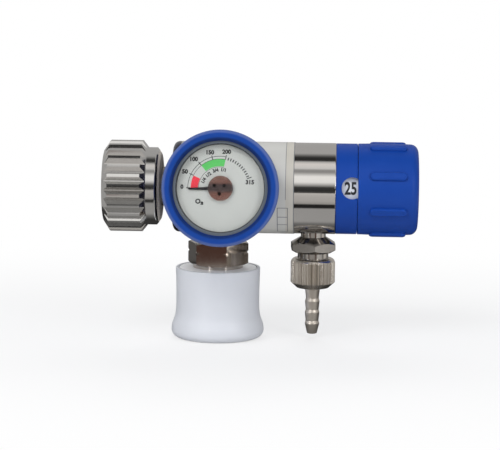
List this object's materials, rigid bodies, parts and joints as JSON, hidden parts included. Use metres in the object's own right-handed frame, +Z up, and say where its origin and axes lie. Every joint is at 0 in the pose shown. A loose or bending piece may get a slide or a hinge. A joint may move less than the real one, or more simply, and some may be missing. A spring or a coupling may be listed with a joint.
{
  "type": "oxygen regulator",
  "caption": "Hand-tightened oxygen cylinder regulator with a booted pressure gauge, a quick coupler with a release sleeve, a barbed hose outlet and a stepped flow knob.",
  "frame": {"origin": "on the main axis where the full thread of the inlet handwheel starts, 0.9 mm inside its mouth", "axes": "+X along the main axis from the inlet to the flow knob, -Y to the gauge's side, +Z up, the two outlets point down"},
  "size_m": [0.157, 0.0772, 0.1088],
  "materials": {
    "nickel": "nickel-plated brass, satin",
    "chrome_body": "chrome-plated, polished",
    "brass": "turned",
    "steel": "plain steel",
    "blue_plastic": "satin blue moulding",
    "blue_rubber": "smooth blue rubber",
    "white_plastic": "satin white moulding",
    "label": "printed film",
    "dial": "printed dial",
    "bezel_grey": "light grey metal",
    "clear_window": "clear plastic window",
    "amber_cover": "brown translucent plastic",
    "pointer_black": "black",
    "seal_rubber": "black rubber"
  },
  "bodies": {
    "root": {"inlet_stem": "nickel", "inlet_oring": "seal_rubber", "inlet_filter": "brass", "valve_nozzle": "brass", "piston_spring": "steel", "piston_circlip": "steel", "spindle_oring": "seal_rubber", "port_seal": "seal_rubber", "detent_spring": "steel", "stop_pin": "steel", "body_housing": "chrome_body", "body_label": "label", "metering_block": "brass", "window_ring": "blue_plastic", "ring_screws": "steel", "gauge_boot": "blue_rubber", "gauge_socket": "brass", "bourdon_tube": "brass", "gauge_case": "bezel_grey", "gauge_bezel": "bezel_grey", "gauge_window": "clear_window", "window_gasket": "seal_rubber", "gauge_dial": "dial", "gauge_hub_cover": "amber_cover", "movement_frame": "brass", "coupler_hex_body": "nickel", "coupler_barrel": "nickel", "probe_seal": "seal_rubber", "coupler_top_disc": "white_plastic", "sleeve_spring": "steel", "spring_seat": "steel", "barrel_circlip": "steel", "poppet_spring": "steel", "locking_balls": "steel", "outlet_adapter": "nickel", "hose_nipple": "nickel", "outlet_oring": "seal_rubber"},
    "handwheel": {"handwheel_nut": "nickel"},
    "selector": {"flow_knob": "blue_plastic", "numeral_drum": "white_plastic", "selector_spindle": "steel", "orifice_disc": "steel"},
    "detent": {"detent_plunger": "steel"},
    "piston": {"regulating_piston": "brass", "piston_seat": "white_plastic", "piston_oring": "seal_rubber"},
    "pointer": {"gauge_pointer": "pointer_black", "pinion_arbor": "brass"},
    "sector": {"sector_gear": "brass"},
    "link": {"sector_link": "brass"},
    "release_sleeve": {"coupler_sleeve": "white_plastic", "lock_ring": "steel"},
    "poppet": {"coupler_poppet": "brass"},
    "union_nut": {"outlet_nut": "nickel"}
  },
  "joints": [
    {"name": "handwheel_spin", "type": "hinge", "parent": "root", "child": "handwheel", "pos_m": [0, 0, 0], "axis": [1, 0, 0], "continuous": true},
    {"name": "flow_select", "type": "hinge", "parent": "root", "child": "selector", "pos_m": [0, 0, 0], "axis": [1, 0, 0], "range_deg": [-330, 0]},
    {"name": "detent_click", "type": "slide", "parent": "root", "child": "detent", "axis": [-1, 0, 0], "range_m": [0, 0.0005], "stiffness_N_per_m": 100, "springref_m": -0.003, "deforming": ["detent_spring"]},
    {"name": "piston_travel", "type": "slide", "parent": "root", "child": "piston", "axis": [-1, 0, 0], "range_m": [0, 0.0012], "stiffness_N_per_m": 3000, "springref_m": -0.002, "deforming": ["piston_spring"]},
    {"name": "sector_swing", "type": "hinge", "parent": "root", "child": "sector", "pos_m": [0.0596, -0.04088, -0.00626], "axis": [0, -0.9945, 0.1045], "range_deg": [0, 26.67]},
    {"name": "pointer_sweep", "type": "hinge", "parent": "root", "child": "pointer", "pos_m": [0.0596, -0.03978, 0.00418], "axis": [0, 0.9945, -0.1045], "range_deg": [0, 160]},
    {"name": "link_swing", "type": "hinge", "parent": "sector", "child": "link", "pos_m": [0.06446, -0.041, -0.00741], "axis": [0, 0.9945, -0.1045], "range_deg": [0, 27]},
    {"name": "sleeve_pull", "type": "slide", "parent": "root", "child": "release_sleeve", "axis": [0, 0, -1], "range_m": [0, 0.004], "stiffness_N_per_m": 2000, "springref_m": -0.004, "deforming": ["sleeve_spring"]},
    {"name": "poppet_lift", "type": "slide", "parent": "root", "child": "poppet", "axis": [0, 0, 1], "range_m": [0, 0.003], "stiffness_N_per_m": 300, "springref_m": -0.004, "deforming": ["poppet_spring"]},
    {"name": "union_nut_spin", "type": "hinge", "parent": "root", "child": "union_nut", "pos_m": [0.1039, 0, 0], "axis": [0, 0, 1], "continuous": true}
  ],
  "couplings": [
    {"joint": "pointer_sweep", "follows": "sector_swing", "ratio": 6},
    {"joint": "link_swing", "follows": "sector_swing", "ratio": 1}
  ]
}
